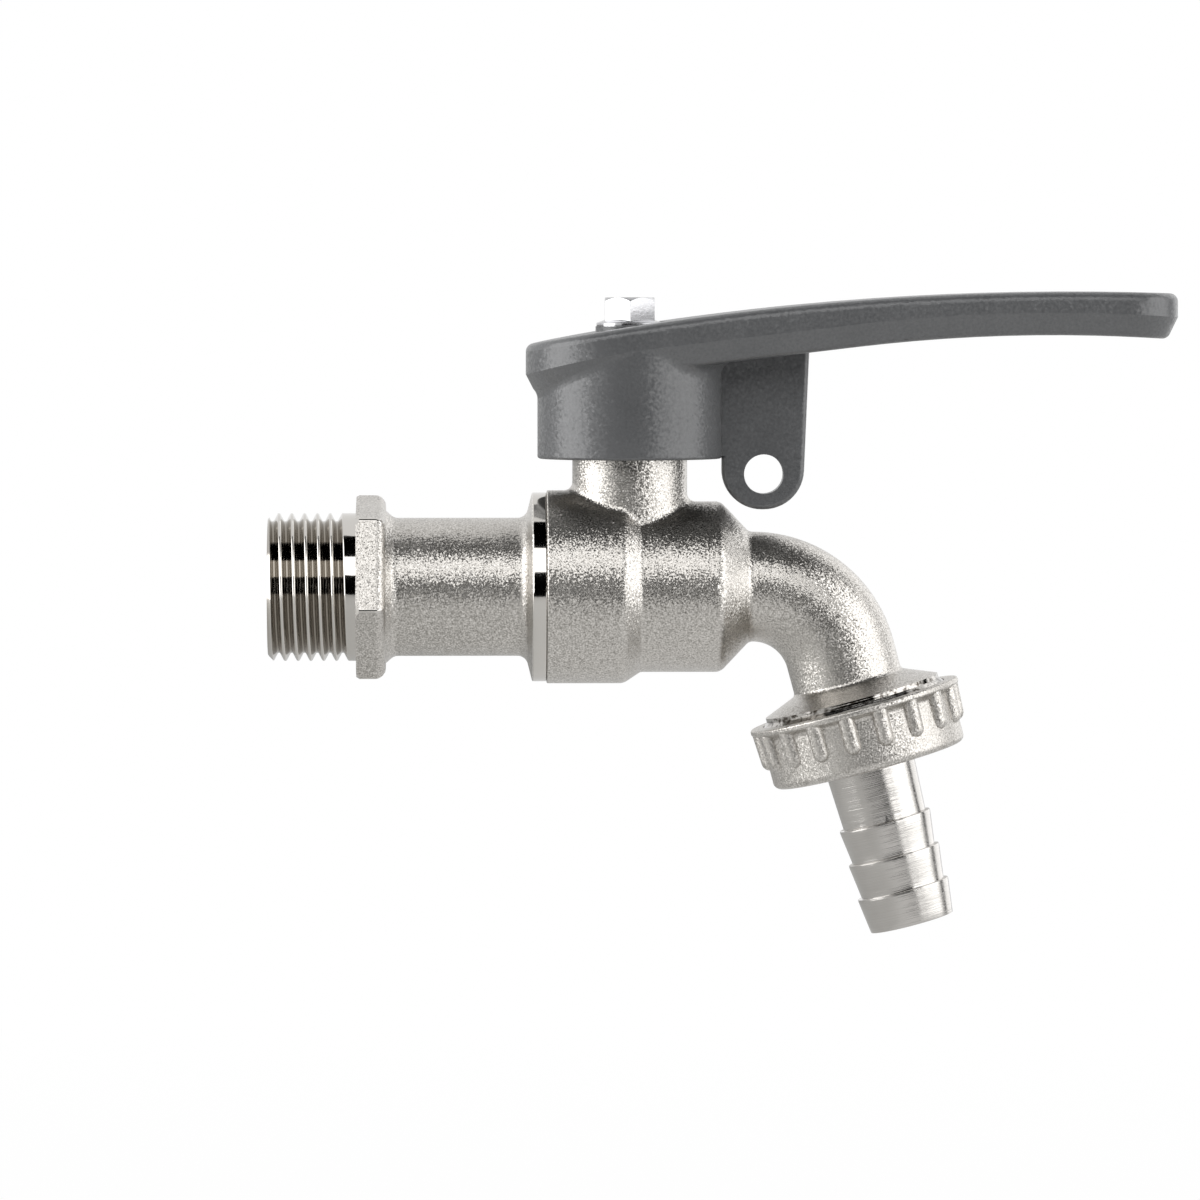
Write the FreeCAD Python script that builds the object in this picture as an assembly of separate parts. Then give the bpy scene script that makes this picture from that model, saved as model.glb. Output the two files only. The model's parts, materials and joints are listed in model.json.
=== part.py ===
import FreeCAD, Part
import math
import os

from FreeCAD import Placement, Rotation, Vector

# A lockable lever tap for a water butt: a quarter-turn ball valve with a half-inch inlet thread,
# a bent spout, and a union nut that holds a barbed hose tail. Millimetres, +Z up.
# The origin is on the inlet axis at the shoulder of the inlet hexagon. +X runs with the water,
# from the inlet to the spout, and the lever points along +X in the closed position.

# Fits
RUNNING_GAP = 0.05
JOINT_GAP = 0.05
UNION_PLAY = 0.1

# Inlet tail
INLET_THREAD_R = 10.48
INLET_THREAD_LENGTH = 12.5
INLET_THREAD_CHAMFER = 0.8
INLET_BORE_R = 7.25
INLET_BORE_TAPER = 3.0
INLET_HEX_SHOULDER = 1.27
INLET_HEX_LENGTH = 4.2
INLET_HEX_ROUND = 1.5
INLET_HEX_CHAMFER = 0.6
INLET_HEX_TURN = 12.6
HEX_COVE_STEP = 0.35
HEX_COVE_INSET = 0.65
HEX_COVE_LENGTH = 1.8
HEX_COVE_ROUND = 1.5
NECK_WALL = 2.54
NECK_LENGTH = 20.7
NECK_FLARE_LENGTH = 0.9
NECK_FLARE_ROUND = 1.5
RIM_LENGTH = 2.05
RIM_STEP = 0.29
RIM_EDGE = 0.25

# Ball and seats
BALL_R = 9.0
BALL_BORE_R = 5.0
BALL_FROM_SEAM = 11.8
BALL_SLOT_WIDTH = 4.0
BALL_SLOT_DEPTH = 2.8
SEAT_INSET = 0.6
SEAT_LENGTH = 5.1
SEAT_LAND = 0.6
SEAT_BORE_STEP = 0.2
SEAT_STAND_OUT = 1.0

# Barrel of the body
SPIGOT_WALL = 2.55
SOCKET_WALL = 2.64
CHAMBER_GAP = 0.6
CHAMBER_WALL = 2.5
BARREL_OVERLAP = 4.6
BARREL_STEP_LENGTH = 2.4
BARREL_END_WALL = 3.25
BARREL_CONE_LENGTH = 4.05
BARREL_STEP_ROUND = 2.0
BARREL_STEP_COVE = 0.9
BARREL_END_ROUND = 1.8
BARREL_END_COVE = 1.6
SEAM_EDGE = 0.2

# Stem, packing and gland
STEM_R = 4.0
STEM_GAP = 0.08
STEM_COLLAR_STEP = 1.4
STEM_COLLAR_HEIGHT = 2.4
STEM_COLLAR_GAP = 0.2
STEM_COLLAR_LIFT = 0.8
STEM_BLADE_WIDTH = 7.6
STEM_BLADE_GAP = 0.1
STEM_BLADE_TIP_GAP = 0.3
STEM_FLATS = 5.6
STEM_FLATS_LENGTH = 8.4
STEM_FLATS_GAP = 0.06
STEM_HOLE_EXTRA = 2.0
THRUST_WASHER_THICKNESS = 0.8
STEM_SHOULDER_THICKNESS = 2.0
PACKING_WALL = 2.0
PACKING_RING_HEIGHT = 2.2
GLAND_THREAD_LENGTH = 4.55
GLAND_HEX_SHOULDER = 0.5
GLAND_HEX_HEIGHT = 2.5
GLAND_EDGE = 0.4

# Boss and quarter-turn stop
BOSS_WALL = 2.14
BOSS_FILLET = 1.2
STOP_REACH = 2.2
STOP_HEIGHT = 3.5
STOP_HALF_ANGLE = 15.0
STOP_GAP_ANGLE = 1.2
STOP_GAP = 0.66
STOP_RIB_ANGLE = 24.0
LEVER_TRAVEL = 90.0

# Spout and outlet
SPOUT_WALL = 2.6
SPOUT_LEAD = 0.55
SPOUT_BEND_R = 12.9
SPOUT_TURN = 75.0
SPOUT_STRAIGHT = 4.17
OUTLET_FLARE_LENGTH = 1.96
OUTLET_FLARE_ROUND = 0.8
OUTLET_LAND_LENGTH = 0.64
OUTLET_THREAD_R = 13.2
OUTLET_THREAD_STEP = 0.6
OUTLET_THREAD_LENGTH = 3.93
OUTLET_THREAD_CHAMFER = 0.5

# Union nut
NUT_THREAD_GAP = 0.1
NUT_WALL = 0.65
NUT_HEIGHT = 9.1
NUT_LIP = 1.6
NUT_LIP_GAP = 0.6
NUT_EDGE = 1.0
NUT_RIM_PROUD = 1.25
NUT_RIM_LENGTH = 0.8
NUT_RIM_EDGE = 0.35
NUT_RIM_COVE = 0.7
NUT_RIB_COUNT = 18
NUT_RIB_TURN = 8.7
NUT_RIB_WIDTH = 2.4
NUT_RIB_LENGTH = 6.2
NUT_RIB_PROUD = 1.15
NUT_RIB_TAPER = 0.25

# Hose tail and washer
HOSE_WASHER_THICKNESS = 1.8
HOSE_WASHER_BORE_STEP = 1.2
TAIL_FLANGE_THICKNESS = 1.5
TAIL_FLANGE_GAP = 1.6
TAIL_BORE_R = 4.5
TAIL_WALL = 1.5
TAIL_ROOT_STEP = 0.4
TAIL_ROOT_LENGTH = 8.1
BARB_COUNT = 3
BARB_PITCH = 5.02
BARB_HEIGHT = 0.6
BARB_LAND = 0.4

# Lever
LEVER_LIFT = 1.5
LEVER_LENGTH = 77.65
LEVER_CROWN_R = 406.4
LEVER_CROWN_PEAK = 62.95
LEVER_THICKNESS = 6.1
LEVER_UNDER_R = 234.1
LEVER_UNDER_PEAK = 59.55
LEVER_SLOPE = 6.7
LEVER_SLOPE_START = 5.75
LEVER_HEAD_UNDER_R = 130.0
LEVER_HEAD_SHIFT = 1.5
LEVER_HEAD_STEP = 0.15
LEVER_HEAD_WALL = 4.5
LEVER_HEAD_COVE = 2.0
LEVER_TIP_HALF_WIDTH = 8.0
LEVER_TIP_CORNER_R = 7.0
LEVER_BEVEL_HEIGHT = 3.2
LEVER_BEVEL_DEPTH = 1.5
LEVER_TOP_ROUND = 1.2
LEVER_UNDER_ROUND = 1.2
LEVER_PAD_R = 4.85
LEVER_PAD_CLEAR = 0.25
LEVER_HUB_WALL = 2.5
SKIRT_WALL = 2.08
SKIRT_GAP = 4.5
SKIRT_EDGE = 0.4

# Padlock lug under the lever
LUG_THICKNESS = 4.0
LUG_HOLE_R = 2.8
LUG_HOLE_OUT = 5.87
LUG_HOLE_DROP = 2.19
LUG_RIM = 2.2
LUG_SIDE = 5.5
LUG_CORNER_R = 5.7
LUG_DRAFT = 1.1
LUG_EDGE = 0.7

# Lever screw
SCREW_R = 2.0
SCREW_LENGTH = 10.0
SCREW_FLANGE_R = 4.72
SCREW_FLANGE_HEIGHT = 0.95
SCREW_FLANGE_RIM = 0.5
SCREW_HEX_AF = 7.0
SCREW_HEX_HEIGHT = 3.15
SCREW_HEX_CHAMFER = 0.5
SCREW_DISH_R = 2.4
SCREW_DISH_DEPTH = 0.6
SCREW_RECESS = 0.5

# The most of a side that the rounding of a corner uses, where the side's other end is sharp
CORNER_ROOM = 0.98
EDGE_SAMPLES = 7
FULL_TURN = 360.0

# Radii and places that follow from the sizes above
thread_end = -INLET_THREAD_LENGTH
hex_inradius = INLET_THREAD_R + INLET_HEX_SHOULDER
neck_r = INLET_BORE_R + NECK_WALL
rim_x = INLET_HEX_LENGTH + NECK_LENGTH
seam_x = rim_x + RIM_LENGTH
ball_x = seam_x + BALL_FROM_SEAM

seat_bore_r = BALL_BORE_R + SEAT_BORE_STEP
seat_r = BALL_R - SEAT_INSET
seat_back = BALL_R + SEAT_LAND
seat_front = seat_back - SEAT_LENGTH
seat_pocket_r = seat_r + JOINT_GAP
spigot_r = seat_pocket_r + SPIGOT_WALL
spigot_x = ball_x - seat_front - SEAT_STAND_OUT
socket_r = spigot_r + JOINT_GAP
barrel_r = socket_r + SOCKET_WALL
rim_r = barrel_r - RIM_STEP
chamber_r = BALL_R + CHAMBER_GAP
chamber_barrel_r = chamber_r + CHAMBER_WALL
spout_r = seat_bore_r + SPOUT_WALL
outlet_seat_x = ball_x + seat_back
barrel_end_x = outlet_seat_x + BARREL_END_WALL
cone_end_x = barrel_end_x + BARREL_CONE_LENGTH
bend_x = cone_end_x + SPOUT_LEAD

collar_r = STEM_R + STEM_COLLAR_STEP
collar_z = BALL_R + STEM_COLLAR_LIFT
thrust_z = collar_z + STEM_COLLAR_HEIGHT + RUNNING_GAP
shoulder_z = thrust_z + THRUST_WASHER_THICKNESS
packing_z = shoulder_z + STEM_SHOULDER_THICKNESS
packing_box_r = STEM_R + PACKING_WALL
gland_z = packing_z + 2 * PACKING_RING_HEIGHT
boss_r = packing_box_r + BOSS_WALL
boss_z = gland_z + GLAND_THREAD_LENGTH
stop_z = boss_z - STOP_HEIGHT
stop_r = boss_r + STOP_REACH
lever_z = boss_z + GLAND_HEX_HEIGHT + LEVER_LIFT
stem_top_z = lever_z + STEM_FLATS_LENGTH
pad_z = stem_top_z + SCREW_RECESS

thread_start = SPOUT_STRAIGHT + OUTLET_FLARE_LENGTH + OUTLET_LAND_LENGTH
outlet_end = thread_start + OUTLET_THREAD_STEP + OUTLET_THREAD_LENGTH
washer_start = outlet_end + RUNNING_GAP
flange_start = washer_start + HOSE_WASHER_THICKNESS
flange_end = flange_start + TAIL_FLANGE_THICKNESS
lip_start = flange_end + UNION_PLAY
nut_end = lip_start + NUT_LIP
nut_start = nut_end - NUT_HEIGHT
nut_bore_r = OUTLET_THREAD_R + NUT_THREAD_GAP
nut_r = nut_bore_r + NUT_WALL
flange_r = nut_bore_r - TAIL_FLANGE_GAP
barb_root_r = TAIL_BORE_R + TAIL_WALL
barb_r = barb_root_r + BARB_HEIGHT
tail_root_r = barb_root_r + TAIL_ROOT_STEP
first_barb = nut_end + TAIL_ROOT_LENGTH

skirt_bore_r = stop_r + STOP_GAP
skirt_r = skirt_bore_r + SKIRT_WALL
skirt_z = barrel_r + SKIRT_GAP
head_r = skirt_r + LEVER_HEAD_STEP


def outline(corners):
    """A closed wire in the XZ plane through (x, z, radius) corners, each rounded by its radius."""
    points = [Vector(x, 0, z) for x, z, radius in corners]
    edges = []
    ends = []
    for index, (x, z, radius) in enumerate(corners):
        corner = points[index]
        before = points[index - 1] - corner
        following = (index + 1) % len(points)
        after = points[following] - corner
        if radius == 0:
            ends.append((corner, corner))
            continue
        half = before.getAngle(after) / 2
        setback = radius / math.tan(half)
        for side, far_radius in ((before, corners[index - 1][2]), (after, corners[following][2])):
            room = CORNER_ROOM * side.Length
            setback = min(setback, room / 2 if far_radius else room)
        bend = setback * math.tan(half)
        before.normalize()
        after.normalize()
        middle = (before + after).normalize() * (bend / math.sin(half) - bend)
        first = corner + before * setback
        last = corner + after * setback
        edges.append(Part.Arc(first, corner + middle, last).toShape())
        ends.append((first, last))
    for index, (first, last) in enumerate(ends):
        edges.append(Part.makeLine(ends[index - 1][1], first))
    return Part.Wire(Part.__sortEdges__(edges))


def turned(corners):
    """A solid turned about the X axis from (x, radius, rounding) corners."""
    return Part.Face(outline(corners)).revolve(Vector(), Vector(1, 0, 0), FULL_TURN)


def ring(start, end, inner_r, outer_r):
    """A plain ring, or a disc where inner_r is 0, about the X axis."""
    return turned([(start, inner_r, 0), (start, outer_r, 0), (end, outer_r, 0), (end, inner_r, 0)])


def hexagon(across_flats, start, end, turn):
    """A hexagonal bar along X, with a corner at the angle turn from +Y towards +Z."""
    corner_r = across_flats / math.sqrt(3)
    angles = [math.radians(turn + 60 * side) for side in range(6)]
    points = [Vector(start, corner_r * math.cos(a), corner_r * math.sin(a)) for a in angles]
    face = Part.Face(Part.makePolygon(points + points[:1]))
    return face.extrude(Vector(end - start, 0, 0))


def on_stem(shape):
    """Move a shape built along +X so that it stands up the stem axis."""
    shape.Placement = Placement(Vector(ball_x, 0, 0), Rotation(Vector(0, 1, 0), -90))
    return shape


def on_outlet(shape):
    """Move a shape built along +X so that it runs down the outlet axis from the end of the bend."""
    turn = math.radians(SPOUT_TURN)
    run = SPOUT_BEND_R * math.sin(turn)
    drop = SPOUT_BEND_R * (1 - math.cos(turn))
    place = Vector(bend_x + run, 0, -drop)
    shape.Placement = Placement(place, Rotation(Vector(0, 1, 0), SPOUT_TURN))
    return shape


def sector(inner_r, outer_r, low, high, start_angle, end_angle):
    """A sector of a ring round the stem axis, with angles from +X towards +Y."""
    foot = Vector(ball_x, 0, low)
    up = Vector(0, 0, 1)
    slice_of_disc = Part.makeCylinder(outer_r, high - low, foot, up, end_angle - start_angle)
    slice_of_disc.rotate(foot, up, start_angle)
    return slice_of_disc.cut(Part.makeCylinder(inner_r, high - low, foot, up))


def bend(tube_r):
    """The curved stretch of the spout, as a solid rod of radius tube_r."""
    circle = Part.Circle(Vector(bend_x, 0, 0), Vector(1, 0, 0), tube_r).toShape()
    face = Part.Face(Part.Wire(circle))
    return face.revolve(Vector(bend_x, 0, -SPOUT_BEND_R), Vector(0, 1, 0), SPOUT_TURN)


def inlet_tail():
    """Turned inlet: thread, hexagon, neck, rim and the spigot that holds the inlet seat."""
    seat_x = ball_x - seat_back
    taper_end = seat_x - SEAT_LAND
    taper_start = taper_end - INLET_BORE_TAPER
    cove_r = hex_inradius - HEX_COVE_STEP
    cove_x = INLET_HEX_LENGTH - HEX_COVE_INSET
    flare_x = rim_x - NECK_FLARE_LENGTH
    tail = turned([
        (thread_end, INLET_BORE_R, 0),
        (thread_end, INLET_THREAD_R - INLET_THREAD_CHAMFER, 0),
        (thread_end + INLET_THREAD_CHAMFER, INLET_THREAD_R, 0),
        (0, INLET_THREAD_R, 0),
        (0, cove_r, 0),
        (cove_x, cove_r, 0),
        (cove_x + HEX_COVE_LENGTH, neck_r, HEX_COVE_ROUND),
        (flare_x, neck_r, NECK_FLARE_ROUND),
        (rim_x, rim_r, RIM_EDGE),
        (seam_x, rim_r, RIM_EDGE),
        (seam_x, spigot_r, 0),
        (spigot_x, spigot_r, 0),
        (spigot_x, seat_pocket_r, 0),
        (seat_x, seat_pocket_r, 0),
        (seat_x, seat_bore_r, 0),
        (taper_end, seat_bore_r, 0),
        (taper_start, INLET_BORE_R, 0),
    ])
    bar = hexagon(2 * hex_inradius, 0, INLET_HEX_LENGTH, INLET_HEX_TURN)
    end_edges = [edge for edge in bar.Edges if edge.BoundBox.XMin > INLET_HEX_LENGTH / 2]
    bar = bar.makeFillet(INLET_HEX_ROUND, end_edges)
    hex_corner_r = 2 * hex_inradius / math.sqrt(3)
    trim = turned([
        (0, INLET_BORE_R, 0),
        (0, hex_corner_r - INLET_HEX_CHAMFER, 0),
        (INLET_HEX_CHAMFER, hex_corner_r, 0),
        (INLET_HEX_LENGTH, hex_corner_r, 0),
        (INLET_HEX_LENGTH, INLET_BORE_R, 0),
    ])
    return tail.fuse(bar.common(trim)).removeSplitter()


def seat_ring():
    """A ball seat on the -X side of a ball at the origin, hollowed to the ball."""
    blank = ring(-seat_back, -seat_front, seat_bore_r, seat_r)
    return blank.cut(Part.makeSphere(BALL_R + RUNNING_GAP))


def inlet_ball_seat():
    seat = seat_ring()
    seat.translate(Vector(ball_x, 0, 0))
    return seat


def outlet_ball_seat():
    seat = seat_ring()
    seat.rotate(Vector(), Vector(0, 0, 1), FULL_TURN / 2)
    seat.translate(Vector(ball_x, 0, 0))
    return seat


def ball():
    """The ball, shut: its bore lies across the flow and its slot along it."""
    centre = Vector(ball_x, 0, 0)
    sphere = Part.makeSphere(BALL_R, centre)
    across = Part.makeCylinder(BALL_BORE_R, 2 * BALL_R, centre - Vector(0, BALL_R, 0), Vector(0, 1, 0))
    slot_foot = centre + Vector(-BALL_R, -BALL_SLOT_WIDTH / 2, BALL_R - BALL_SLOT_DEPTH)
    slot = Part.makeBox(2 * BALL_R, BALL_SLOT_WIDTH, BALL_SLOT_DEPTH, slot_foot)
    return sphere.cut(across).cut(slot)


def barrel_and_spout():
    """The outer form of the body casting, without its bores."""
    step_x = spigot_x + BARREL_OVERLAP
    barrel = turned([
        (seam_x, 0, 0),
        (seam_x, barrel_r, SEAM_EDGE),
        (step_x, barrel_r, BARREL_STEP_ROUND),
        (step_x + BARREL_STEP_LENGTH, chamber_barrel_r, BARREL_STEP_COVE),
        (barrel_end_x, chamber_barrel_r, BARREL_END_ROUND),
        (cone_end_x, spout_r, BARREL_END_COVE),
        (bend_x, spout_r, 0),
        (bend_x, 0, 0),
    ])
    land_r = OUTLET_THREAD_R - OUTLET_THREAD_STEP
    flare_end = SPOUT_STRAIGHT + OUTLET_FLARE_LENGTH
    outlet = on_outlet(turned([
        (0, 0, 0),
        (0, spout_r, 0),
        (SPOUT_STRAIGHT, spout_r, OUTLET_FLARE_ROUND),
        (flare_end, land_r, 0),
        (thread_start, land_r, 0),
        (thread_start + OUTLET_THREAD_STEP, OUTLET_THREAD_R, 0),
        (outlet_end - OUTLET_THREAD_CHAMFER, OUTLET_THREAD_R, 0),
        (outlet_end, OUTLET_THREAD_R - OUTLET_THREAD_CHAMFER, 0),
        (outlet_end, 0, 0),
    ]))
    boss = on_stem(ring(0, boss_z, 0, boss_r))
    return barrel.fuse([bend(spout_r), outlet, boss]).removeSplitter()


def edges_round_stem(casting, radius):
    """The edges of a casting that lie on a cylinder round the stem."""
    found = []
    for edge in casting.Edges:
        points = edge.discretize(EDGE_SAMPLES)
        if all(abs(math.hypot(p.x - ball_x, p.y) - radius) < RUNNING_GAP for p in points):
            found.append(edge)
    return found


def boss_root(casting):
    """The edges where the stem boss runs into the barrel."""
    top = barrel_r + RUNNING_GAP
    edges = edges_round_stem(casting, boss_r)
    return [edge for edge in edges if edge.BoundBox.ZMin > 0 and edge.BoundBox.ZMax < top]


def valve_body():
    """The body casting with its socket, ball chamber, seat pocket, stem bores and spout bore."""
    casting = barrel_and_spout()
    casting = casting.makeFillet(BOSS_FILLET, boss_root(casting))
    half_turn = FULL_TURN / 2
    stop = sector(
        packing_box_r, stop_r, stop_z, boss_z, half_turn - STOP_HALF_ANGLE, half_turn + STOP_HALF_ANGLE
    )
    casting = casting.fuse(stop)
    bores = [
        ring(seam_x, spigot_x + STEM_COLLAR_GAP, 0, socket_r),
        ring(spigot_x, ball_x + seat_front + SEAT_STAND_OUT, 0, chamber_r),
        ring(ball_x, outlet_seat_x, 0, seat_pocket_r),
        ring(ball_x, bend_x, 0, seat_bore_r),
        bend(seat_bore_r),
        on_outlet(ring(0, outlet_end, 0, seat_bore_r)),
        on_stem(ring(0, shoulder_z, 0, collar_r + STEM_COLLAR_GAP)),
        on_stem(ring(0, packing_z, 0, STEM_R + STEM_GAP)),
        on_stem(ring(packing_z, boss_z, 0, packing_box_r)),
    ]
    return casting.cut(bores).removeSplitter()


def thrust_washer():
    return on_stem(ring(thrust_z, shoulder_z, STEM_R + RUNNING_GAP, collar_r))


def packing_ring(index):
    low = packing_z + index * PACKING_RING_HEIGHT
    return on_stem(ring(low, low + PACKING_RING_HEIGHT, STEM_R + RUNNING_GAP, packing_box_r - JOINT_GAP))


def gland_nut():
    """The nut that presses the packing down, with its hexagon above the boss."""
    shank = ring(gland_z, boss_z, 0, packing_box_r - JOINT_GAP)
    top_z = boss_z + GLAND_HEX_HEIGHT
    across_flats = 2 * (packing_box_r + GLAND_HEX_SHOULDER)
    corner_r = across_flats / math.sqrt(3)
    trim = turned([
        (boss_z, 0, 0),
        (boss_z, corner_r, 0),
        (top_z - GLAND_EDGE, corner_r, 0),
        (top_z, corner_r - GLAND_EDGE, 0),
        (top_z, 0, 0),
    ])
    head = hexagon(across_flats, boss_z, top_z, 0).common(trim)
    bore = ring(gland_z, top_z, 0, STEM_R + STEM_GAP)
    return on_stem(shank.fuse(head).cut(bore).removeSplitter())


def flats(width, low, high):
    """A slab across the stem, as wide along Y as the two flats are apart."""
    reach = 2 * collar_r
    return Part.makeBox(reach, width, high - low, Vector(ball_x - reach / 2, -width / 2, low))


def stem():
    """The stem: blade in the ball's slot, thrust collar, shaft, and flats for the lever."""
    blade_z = BALL_R - BALL_SLOT_DEPTH + STEM_BLADE_TIP_GAP
    thickness = BALL_SLOT_WIDTH - 2 * STEM_BLADE_GAP
    blade_foot = Vector(ball_x - STEM_BLADE_WIDTH / 2, -thickness / 2, blade_z)
    blade = Part.makeBox(STEM_BLADE_WIDTH, thickness, collar_z - blade_z, blade_foot)
    shaft = on_stem(turned([
        (collar_z, 0, 0),
        (collar_z, collar_r, 0),
        (collar_z + STEM_COLLAR_HEIGHT, collar_r, 0),
        (collar_z + STEM_COLLAR_HEIGHT, STEM_R, 0),
        (lever_z, STEM_R, 0),
        (lever_z, 0, 0),
    ]))
    tang = on_stem(ring(lever_z, stem_top_z, 0, STEM_R))
    tang = tang.common(flats(STEM_FLATS, lever_z, stem_top_z))
    hole_z = pad_z - SCREW_LENGTH - STEM_HOLE_EXTRA
    hole = on_stem(ring(hole_z, stem_top_z, 0, SCREW_R + JOINT_GAP))
    return shaft.fuse([blade, tang]).cut(hole).removeSplitter()


def arch(peak, peak_z, radius, distance):
    """Height of an arch at a distance along the lever from the stem axis."""
    return peak_z - radius + math.sqrt(radius ** 2 - (distance - peak) ** 2)


def lever_top(distance):
    """Height of the lever's crowned top, which meets the screw pad's height at the stem axis."""
    peak_z = pad_z + LEVER_CROWN_R - math.sqrt(LEVER_CROWN_R ** 2 - LEVER_CROWN_PEAK ** 2)
    return arch(LEVER_CROWN_PEAK, peak_z, LEVER_CROWN_R, distance)


def arch_edge(height, start, end):
    """An arc in the XZ plane that follows a height function of the distance along the lever."""
    distances = (start, (start + end) / 2, end)
    points = [Vector(ball_x + d, 0, height(d)) for d in distances]
    return Part.Arc(*points).toShape()


def lever_side():
    """The lever's side view as a face: crowned top, arched underside, sloped under the head."""
    left = -2 * head_r
    right = LEVER_LENGTH + LEVER_TIP_CORNER_R
    slope = math.radians(LEVER_SLOPE)
    under_peak_z = lever_top(LEVER_CROWN_PEAK) - LEVER_THICKNESS

    def under(distance):
        return arch(LEVER_UNDER_PEAK, under_peak_z, LEVER_UNDER_R, distance)

    slope_end = LEVER_UNDER_PEAK - LEVER_UNDER_R * math.sin(slope)
    slope_z = under(slope_end) - (slope_end - LEVER_SLOPE_START) * math.tan(slope)
    head_peak = LEVER_SLOPE_START + LEVER_HEAD_UNDER_R * math.sin(slope)
    head_peak_z = slope_z + LEVER_HEAD_UNDER_R * (1 - math.cos(slope))

    def under_head(distance):
        return arch(head_peak, head_peak_z, LEVER_HEAD_UNDER_R, distance)

    def point(distance, height):
        return Vector(ball_x + distance, 0, height)

    edges = [
        arch_edge(lever_top, left, right),
        Part.makeLine(point(right, lever_top(right)), point(right, under(right))),
        arch_edge(under, right, slope_end),
        Part.makeLine(point(slope_end, under(slope_end)), point(LEVER_SLOPE_START, slope_z)),
        arch_edge(under_head, LEVER_SLOPE_START, left),
        Part.makeLine(point(left, under_head(left)), point(left, lever_top(left))),
    ]
    return Part.Face(Part.Wire(edges))


def under_crown(drop):
    """A block under the lever's top, lowered by drop, that reaches below the skirt."""
    left = -2 * head_r
    right = 2 * head_r
    top = arch_edge(lambda distance: lever_top(distance) - drop, left, right)
    corners = [top.lastVertex().Point, Vector(ball_x + right, 0, 0), Vector(ball_x + left, 0, 0)]
    corners.append(top.firstVertex().Point)
    face = Part.Face(Part.Wire([top] + Part.makePolygon(corners).Edges))
    face.translate(Vector(0, -2 * head_r, 0))
    return face.extrude(Vector(0, 4 * head_r, 0))


def lever_plan():
    """The lever seen from above as a face: a round head drawn in to a rounded tip."""
    head = Vector(ball_x - LEVER_HEAD_SHIFT, 0, 0)
    corner_y = LEVER_TIP_HALF_WIDTH - LEVER_TIP_CORNER_R
    corner = Vector(ball_x + LEVER_LENGTH - LEVER_TIP_CORNER_R, corner_y, 0)
    along = corner - head
    lean = math.asin((head_r - LEVER_TIP_CORNER_R) / along.Length)
    heading = math.atan2(along.y, along.x) + math.pi / 2 - lean
    outward = Vector(math.cos(heading), math.sin(heading), 0)

    def far_side(point):
        return Vector(point.x, -point.y, point.z)

    head_point = head + outward * head_r
    side_point = corner + outward * LEVER_TIP_CORNER_R
    tip_point = corner + Vector(LEVER_TIP_CORNER_R, 0, 0)
    middle = (outward + Vector(1, 0, 0)).normalize() * LEVER_TIP_CORNER_R + corner
    back = head - Vector(head_r, 0, 0)
    edges = [
        Part.Arc(far_side(head_point), back, head_point).toShape(),
        Part.makeLine(head_point, side_point),
        Part.Arc(side_point, middle, tip_point).toShape(),
        Part.makeLine(tip_point, far_side(tip_point)),
        Part.Arc(far_side(tip_point), far_side(middle), far_side(side_point)).toShape(),
        Part.makeLine(far_side(side_point), far_side(head_point)),
    ]
    return Part.Face(Part.Wire(edges))


def lever_plate():
    """Head and arm of the lever, bevelled below and rounded above."""
    reach = 2 * head_r
    side = lever_side()
    side.translate(Vector(0, -reach, 0))
    plan = lever_plan()
    plate = side.extrude(Vector(0, 2 * reach, 0)).common(plan.extrude(Vector(0, 0, 2 * pad_z)))
    middle = LEVER_LENGTH / 2

    def rim_edge(shape, out, rise):
        """The edge nearest to a point half way along the arm, so far out to +Y and above its top."""
        probe = Part.Vertex(Vector(ball_x + middle, out, lever_top(middle) + rise))
        return min(shape.Edges, key=lambda edge: edge.distToShape(probe)[0])

    plate = plate.makeChamfer(LEVER_BEVEL_HEIGHT, LEVER_BEVEL_DEPTH, [rim_edge(plate, head_r, -head_r)])
    plate = plate.makeFillet(LEVER_UNDER_ROUND, [rim_edge(plate, head_r, -head_r)])
    return plate.makeFillet(LEVER_TOP_ROUND, [rim_edge(plate, head_r, head_r)])


def padlock_lug():
    """The plate under the arm with the padlock hole."""
    skirt_x = ball_x + skirt_r
    hole_x = skirt_x + LUG_HOLE_OUT
    hole_z = skirt_z - LUG_HOLE_DROP
    low_z = hole_z - LUG_HOLE_R - LUG_RIM
    right_x = hole_x + LUG_SIDE
    root_x = skirt_x - SKIRT_WALL / 2
    edge_x = skirt_x - RUNNING_GAP
    wire = outline([
        (edge_x, low_z, LUG_CORNER_R),
        (right_x, low_z, LUG_CORNER_R),
        (right_x + LUG_DRAFT, pad_z, 0),
        (root_x, pad_z, 0),
        (root_x, skirt_z + SKIRT_EDGE, 0),
        (edge_x, skirt_z + SKIRT_EDGE, 0),
    ])
    face = Part.Face(wire)
    face.translate(Vector(0, -LUG_THICKNESS / 2, 0))
    lug = face.extrude(Vector(0, LUG_THICKNESS, 0))
    start = Vector(hole_x, -LUG_THICKNESS / 2, hole_z)
    lug = lug.cut(Part.makeCylinder(LUG_HOLE_R, LUG_THICKNESS, start, Vector(0, 1, 0)))
    rims = []
    for edge in lug.Edges:
        box = edge.BoundBox
        outer = box.XMax > edge_x + RUNNING_GAP and box.ZMin < skirt_z
        hole = abs(edge.CenterOfMass.x - hole_x) < RUNNING_GAP and box.ZMin > low_z + RUNNING_GAP
        if box.YLength < RUNNING_GAP and outer and not hole:
            rims.append(edge)
    return lug.makeFillet(LUG_EDGE, rims)


def head_root(casting):
    """The edges where the lever's head runs into the skirt."""
    low = skirt_z + LEVER_THICKNESS
    return [edge for edge in edges_round_stem(casting, skirt_r) if edge.BoundBox.ZMin > low]


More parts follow.
